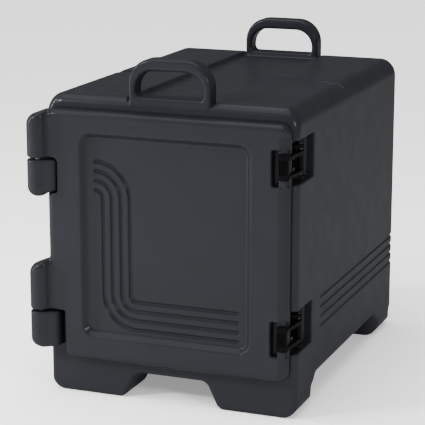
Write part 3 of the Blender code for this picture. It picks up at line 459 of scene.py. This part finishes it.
def settle(field, points, rounds=3, reach=0.0015):
    """Move points onto the field's surface."""
    for _ in range(rounds):
        value = field(*points.T)
        slope = gradient(field, points)
        steepness = np.maximum((slope * slope).sum(axis=1), 0.05)
        move = np.clip(value / steepness, -reach, reach)
        points = points - slope * move[:, None]
    return points


def net(field, xs, ys, zs):
    """Surface net of a field on a grid: one point per crossed cell, one quad per crossed edge."""
    values = field(xs[:, None, None], ys[None, :, None], zs[None, None, :])
    inside = values < 0
    cells = [n - 1 for n in inside.shape]
    count = np.zeros(cells, np.int8)
    corners = [(i, j, k) for i in (0, 1) for j in (0, 1) for k in (0, 1)]
    for i, j, k in corners:
        count += inside[i:i + cells[0], j:j + cells[1], k:k + cells[2]]
    where = np.argwhere((count > 0) & (count < 8))
    number = np.full(cells, -1, np.int32)
    number[tuple(where.T)] = np.arange(len(where))
    axes = (xs, ys, zs)
    total = np.zeros((len(where), 3))
    crossings = np.zeros(len(where))
    for axis in range(3):
        step = np.eye(3, dtype=int)[axis]
        for corner in corners:
            if corner[axis]:
                continue
            a = where + corner
            b = a + step
            va = values[tuple(a.T)]
            vb = values[tuple(b.T)]
            crossed = (va < 0) != (vb < 0)
            t = np.where(crossed, va / np.where(crossed, va - vb, 1), 0)
            for d in range(3):
                pa = axes[d][a[:, d]]
                pb = axes[d][b[:, d]]
                total[:, d] += np.where(crossed, pa + (pb - pa) * t, 0)
            crossings += crossed
    points = total / crossings[:, None]
    quads = []
    for axis in range(3):
        u, v = (axis + 1) % 3, (axis + 2) % 3
        low = [slice(None)] * 3
        high = [slice(None)] * 3
        low[axis] = slice(0, -1)
        high[axis] = slice(1, None)
        a, b = inside[tuple(low)], inside[tuple(high)]
        for leaving in (True, False):
            edges = np.argwhere((a & ~b) if leaving else (~a & b))
            edges = edges[(edges[:, u] > 0) & (edges[:, v] > 0)]
            edges = edges[(edges[:, u] < cells[u]) & (edges[:, v] < cells[v])]
            ring = []
            for du, dv in ((1, 1), (0, 1), (0, 0), (1, 0)):
                cell = edges.copy()
                cell[:, u] -= du
                cell[:, v] -= dv
                ring.append(number[tuple(cell.T)])
            quads.append(np.stack(ring if leaving else ring[::-1], axis=1))
    return points, np.concatenate(quads)


def mesh_of(name, points, faces):
    """A mesh from points and faces that all have the same number of corners."""
    mesh = bpy.data.meshes.new(name)
    mesh.vertices.add(len(points))
    mesh.vertices.foreach_set("co", points.astype(np.float32).ravel())
    mesh.loops.add(faces.size)
    mesh.loops.foreach_set("vertex_index", faces.astype(np.int32).ravel())
    mesh.polygons.add(len(faces))
    mesh.polygons.foreach_set("loop_start", np.arange(0, faces.size, faces.shape[1], dtype=np.int32))
    mesh.update(calc_edges=True)
    return mesh


def thin_out(target, most_faces):
    """Collapse edges until the mesh has few enough triangles."""
    triangles = sum(len(p.vertices) - 2 for p in target.data.polygons)
    if triangles <= most_faces:
        return
    modifier = target.modifiers.new("thin", "DECIMATE")
    modifier.ratio = most_faces / triangles
    bpy.context.view_layer.update()
    depsgraph = bpy.context.evaluated_depsgraph_get()
    thinned = bpy.data.meshes.new_from_object(target.evaluated_get(depsgraph))
    target.modifiers.clear()
    target.data = thinned


def surface(name, field, xs, ys, zs, most_faces, at=(0, 0, 0)):
    """A field's surface as an object, its datum at a point of the carrier."""
    points, quads = net(field, xs, ys, zs)
    made = bpy.data.objects.new(name, mesh_of(name, settle(field, points), quads))
    bpy.context.collection.objects.link(made)
    thin_out(made, most_faces)
    mesh = made.data
    flat = np.empty(len(mesh.vertices) * 3, np.float32)
    mesh.vertices.foreach_get("co", flat)
    points = settle(field, flat.reshape(-1, 3).astype(float), rounds=2)
    slope = gradient(field, points)
    length = np.maximum(np.linalg.norm(slope, axis=1), 1e-6)
    mesh.vertices.foreach_set("co", (points + np.array(DATUM + Vector(at))).astype(np.float32).ravel())
    mesh.shade_smooth()
    mesh.update()
    mesh.normals_split_custom_set_from_vertices((slope / length[:, None]).astype(np.float32))
    return made


# ---- materials -----------------------------------------------------------------------------------
def moulded(name, colour, roughness, specular, coat=0.0, grain=0.00035, scale=900.0, mottle=0.05):
    """Moulded plastic: a fine pebbled skin, faint cloudy mottling and a thin glossier outer layer."""
    material = bpy.data.materials.new(name)
    material.use_nodes = True
    nodes = material.node_tree.nodes
    links = material.node_tree.links
    shader = nodes["Principled BSDF"]
    place = nodes.new("ShaderNodeTexCoord")

    def noise(frequency, detail, roughness_value=0.5):
        texture = nodes.new("ShaderNodeTexNoise")
        texture.inputs["Scale"].default_value = frequency
        texture.inputs["Detail"].default_value = detail
        texture.inputs["Roughness"].default_value = roughness_value
        links.new(place.outputs["Object"], texture.inputs["Vector"])
        return texture.outputs["Fac"]

    def spread(value, low, high, from_low=0.3, from_high=0.7):
        ramp = nodes.new("ShaderNodeMapRange")
        ramp.inputs["From Min"].default_value = from_low
        ramp.inputs["From Max"].default_value = from_high
        ramp.inputs["To Min"].default_value = low
        ramp.inputs["To Max"].default_value = high
        links.new(value, ramp.inputs["Value"])
        return ramp.outputs["Result"]

    tint = nodes.new("ShaderNodeHueSaturation")
    tint.inputs["Color"].default_value = (*colour, 1)
    links.new(spread(noise(14, 4), 1 - mottle, 1 + mottle), tint.inputs["Value"])
    links.new(tint.outputs["Color"], shader.inputs["Base Color"])
    links.new(spread(noise(30, 5, 0.6), roughness - 0.05, roughness + 0.06), shader.inputs["Roughness"])
    bump = nodes.new("ShaderNodeBump")
    bump.inputs["Strength"].default_value = 0.35
    bump.inputs["Distance"].default_value = grain
    links.new(noise(scale, 2), bump.inputs["Height"])
    links.new(bump.outputs["Normal"], shader.inputs["Normal"])
    shader.inputs["Specular IOR Level"].default_value = specular
    shader.inputs["Coat Weight"].default_value = coat
    shader.inputs["Coat Roughness"].default_value = 0.20
    shader.inputs["Coat IOR"].default_value = 2.2
    return material


def metal(name, colour, roughness, axis):
    """Turned metal: fine rings along the axis it was turned about."""
    material = bpy.data.materials.new(name)
    material.use_nodes = True
    nodes = material.node_tree.nodes
    links = material.node_tree.links
    shader = nodes["Principled BSDF"]
    shader.inputs["Base Color"].default_value = (*colour, 1)
    shader.inputs["Metallic"].default_value = 1
    place = nodes.new("ShaderNodeTexCoord")
    stretch = nodes.new("ShaderNodeMapping")
    stretch.inputs["Scale"].default_value = tuple(4000 if i == axis else 60 for i in range(3))
    noise = nodes.new("ShaderNodeTexNoise")
    noise.inputs["Scale"].default_value = 1
    spread = nodes.new("ShaderNodeMapRange")
    spread.inputs["To Min"].default_value = roughness - 0.08
    spread.inputs["To Max"].default_value = roughness + 0.10
    links.new(place.outputs["Object"], stretch.inputs["Vector"])
    links.new(stretch.outputs["Vector"], noise.inputs["Vector"])
    links.new(noise.outputs["Fac"], spread.inputs["Value"])
    links.new(spread.outputs["Result"], shader.inputs["Roughness"])
    return material


def foam_material():
    """Rigid foam: pale, fine-celled and matt."""
    return moulded("foam", (0.72, 0.62, 0.40), 0.9, 0.2, grain=0.001, scale=700)


# ---- the pieces ----------------------------------------------------------------------------------
def dress(piece, material, body, node):
    """Give a piece its material and the body it moves with, and hide the frame's node it stands for."""
    piece.data.materials.clear()
    piece.data.materials.append(material)
    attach(piece, body)
    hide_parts(node)


def build_body(material):
    xs = lines(-0.2565, 0.0016, -0.190, 0.003, -0.148, 0.006, -0.100, 0.002, -0.040, 0.006,
               0.040, 0.002, 0.100, 0.006, 0.148, 0.003, 0.190, 0.0016, 0.232)
    ys = lines(-0.042, 0.0016, 0.040, 0.003, 0.074, 0.0016, 0.090, 0.003, 0.132, 0.010, 0.230, 0.004,
               0.360, 0.010, 0.460, 0.004, 0.500, 0.008, 0.540, 0.003, 0.565, 0.0016, 0.608)
    zs = lines(-0.0061, 0.0018, 0.020, 0.004, 0.036, 0.0018, 0.060, 0.003, 0.120, 0.0012, 0.187, 0.0035,
               0.340, 0.0025, 0.390, 0.002, 0.425, 0.004, 0.460, 0.002, 0.600)
    shell = surface("carrier_shell", body_field, xs, ys, zs, 150000)
    dress(shell, material, "carrier", "body_shell")


def build_door(material):
    xs = lines(-0.2565, 0.0014, -0.180, 0.002, -0.150, 0.0014, -0.040, 0.004, 0.120, 0.0016,
               0.160, 0.003, 0.186, 0.0013, 0.222)
    ys = lines(-0.042, 0.0014, 0.028)
    zs = lines(0.063, 0.0014, 0.145, 0.0013, 0.200, 0.003, 0.235, 0.002, 0.340, 0.0014, 0.510)
    shell = surface("door_shell_moulding", door_field, xs, ys, zs, 150000)
    dress(shell, material, "door", "door_shell")


def build_gasket(material):
    def field(x, y, z):
        return gasket_field(x, y, z, 0.005, DOOR_BACK_Y - 0.0037, -0.0003)

    xs = lines(-0.191, 0.001, -0.168, 0.012, 0.168, 0.001, 0.191)
    ys = lines(-0.008, 0.0006, 0.001)
    zs = lines(0.066, 0.001, 0.089, 0.012, 0.486, 0.001, 0.509)
    gasket = surface("door_seal", field, xs, ys, zs, 30000)
    dress(gasket, material, "door", "door_gasket")


def build_latch(position, level, nylon, dark_steel):
    raised = (0, 0, level)
    fine = 0.0006
    lever = surface(f"latch_{position}_lever", lever_field, lines(0.2015, fine, 0.2295),
                    lines(-0.0335, fine, 0.040), lines(-0.0245, fine, 0.0245), 60000, raised)
    dress(lever, nylon, f"lever_{position}", f"latch_lever_{position}")
    base = surface(f"latch_{position}_base", latch_base_field, lines(0.2095, fine, 0.2295),
                   lines(0.004, fine, 0.050), lines(-0.033, fine, 0.033), 50000, raised)
    dress(base, nylon, "carrier", f"latch_base_{position}")
    pin = surface(f"latch_{position}_pin", latch_pin_field, lines(0.2155, 0.0004, 0.2265),
                  lines(0.0265, 0.0004, 0.0375), lines(-0.031, fine, 0.029, 0.0003, 0.032),
                  16000, raised)
    dress(pin, dark_steel, "carrier", f"latch_pin_{position}")
    for number, side in ((1, 1), (2, -1)):
        seat = (LATCH_PLATE_X[1] + 0.0003, SCREW_PLACE[0], level + side * SCREW_PLACE[1])
        across = lines(-0.0051, 0.00022, 0.0051)
        screw = surface(f"latch_{position}_screw_{number}", screw_field,
                        lines(-0.0143, 0.0005, -0.0006, 0.0002, 0.0032), across, across, 20000, seat)
        dress(screw, dark_steel, "carrier", f"latch_screw_{position}_{number}")


def build_fill_plug(material):
    plug = surface("rear_filling_plug", fill_plug_field, lines(-0.017, 0.0005, 0.017),
                   lines(-0.0056, 0.0004, 0.0006), lines(-0.017, 0.0005, 0.017), 20000,
                   (0, BODY_DEPTH, FILL_PORT_Z))
    dress(plug, material, "carrier", "body_fill_plug")


def paint_frame_nodes(charcoal, nylon, steel, brass, foam):
    """Finishes for the frame's own nodes that stay."""
    finish = {"foam": foam, "steel": steel, "brass": brass, "nylon": nylon, "shell": charcoal}
    for part in frame["record"]["subparts"]:
        material = finish.get(part["material_slot"])
        node = frame["nodes"].get(part["node"])
        if material is None or node is None:
            continue
        node.data.materials.clear()
        node.data.materials.append(material)


# ---- stage ---------------------------------------------------------------------------------------
def build_stage():
    """A plain pale floor under an even white surround."""
    mesh = mesh_of("floor", np.array([(-9, -9, 0), (9, -9, 0), (9, 9, 0), (-9, 9, 0)], float),
                   np.array([(0, 1, 2, 3)]))
    floor = bpy.data.objects.new("floor", mesh)
    bpy.context.collection.objects.link(floor)
    material = bpy.data.materials.new("pale_floor")
    material.use_nodes = True
    shader = material.node_tree.nodes["Principled BSDF"]
    shader.inputs["Base Color"].default_value = (0.95, 0.95, 0.95, 1)
    shader.inputs["Roughness"].default_value = 0.9
    shader.inputs["Specular IOR Level"].default_value = 0
    shader.inputs["Emission Color"].default_value = (1, 1, 1, 1)
    shader.inputs["Emission Strength"].default_value = 0.3
    mesh.materials.append(material)
    world = bpy.data.worlds.new("studio")
    world.use_nodes = True
    world.node_tree.nodes["Background"].inputs["Color"].default_value = (1, 1, 1, 1)
    world.node_tree.nodes["Background"].inputs["Strength"].default_value = 0.5
    bpy.context.scene.world = world


def area_light(name, location, target, width, height, power):
    """A soft light of a given size, aimed at a point."""
    data = bpy.data.lights.new(name, "AREA")
    data.shape = "RECTANGLE"
    data.size = width
    data.size_y = height
    data.energy = power
    light = bpy.data.objects.new(name, data)
    light.location = location
    light.rotation_euler = (Vector(target) - Vector(location)).to_track_quat("-Z", "Y").to_euler()
    bpy.context.collection.objects.link(light)


def build_lights():
    """A soft studio: a key light on the left, a strip at the left, fill from the right and above."""
    middle = (0, 0, 0.3)
    area_light("key", (-1.7, -2.0, 1.7), middle, 0.42, 0.42, 75)
    area_light("top", (-0.2, 0.3, 2.4), middle, 1.2, 1.2, 20)
    area_light("left_strip", (-2.2, -0.9, 0.9), middle, 0.15, 1.6, 85)
    area_light("right", (2.1, -1.7, 1.3), middle, 0.5, 0.5, 40)
    data = bpy.data.lights.new("overhead", "SUN")
    data.energy = 3.4
    data.angle = math.radians(60)
    overhead = bpy.data.objects.new("overhead", data)
    overhead.rotation_euler = Vector((0.1, 0.2, -1)).to_track_quat("-Z", "Y").to_euler()
    bpy.context.collection.objects.link(overhead)


def build_camera():
    """The camera, to the right of the front and a little above."""
    azimuth = math.radians(21.31)
    elevation = math.radians(13.71)
    distance = 3.196
    target = DATUM + Vector((-0.0463, 0.3206, 0.2620))
    back = Vector((math.sin(azimuth) * math.cos(elevation), -math.cos(azimuth) * math.cos(elevation),
                   math.sin(elevation)))
    data = bpy.data.cameras.new("camera")
    data.sensor_width = 36
    data.lens = 144.1
    camera = bpy.data.objects.new("camera", data)
    camera.location = target + back * distance
    camera.rotation_euler = (-back).to_track_quat("-Z", "Y").to_euler()
    bpy.context.collection.objects.link(camera)
    bpy.context.scene.camera = camera


def main():
    charcoal = moulded("charcoal_polyethylene", (0.0094, 0.0102, 0.0126), 0.75, 0.03, coat=0.036)
    nylon = moulded("black_nylon", (0.0012, 0.0012, 0.0014), 0.6, 0.01, coat=0.012, grain=0.0001,
                    scale=1500)
    rubber = moulded("seal_rubber", (0.020, 0.020, 0.021), 0.7, 0.2, grain=0.0001, scale=1200)
    steel = metal("stainless_steel", (0.50, 0.50, 0.51), 0.36, 2)
    dark_steel = metal("oiled_steel", (0.06, 0.06, 0.062), 0.45, 0)
    brass = metal("brass", (0.70, 0.53, 0.25), 0.35, 0)
    paint_frame_nodes(charcoal, nylon, steel, brass, foam_material())
    build_body(charcoal)
    build_door(charcoal)
    build_gasket(rubber)
    for position, level in LATCH_LEVELS.items():
        build_latch(position, level, nylon, dark_steel)
    build_fill_plug(charcoal)
    build_stage()
    build_lights()
    build_camera()


main()
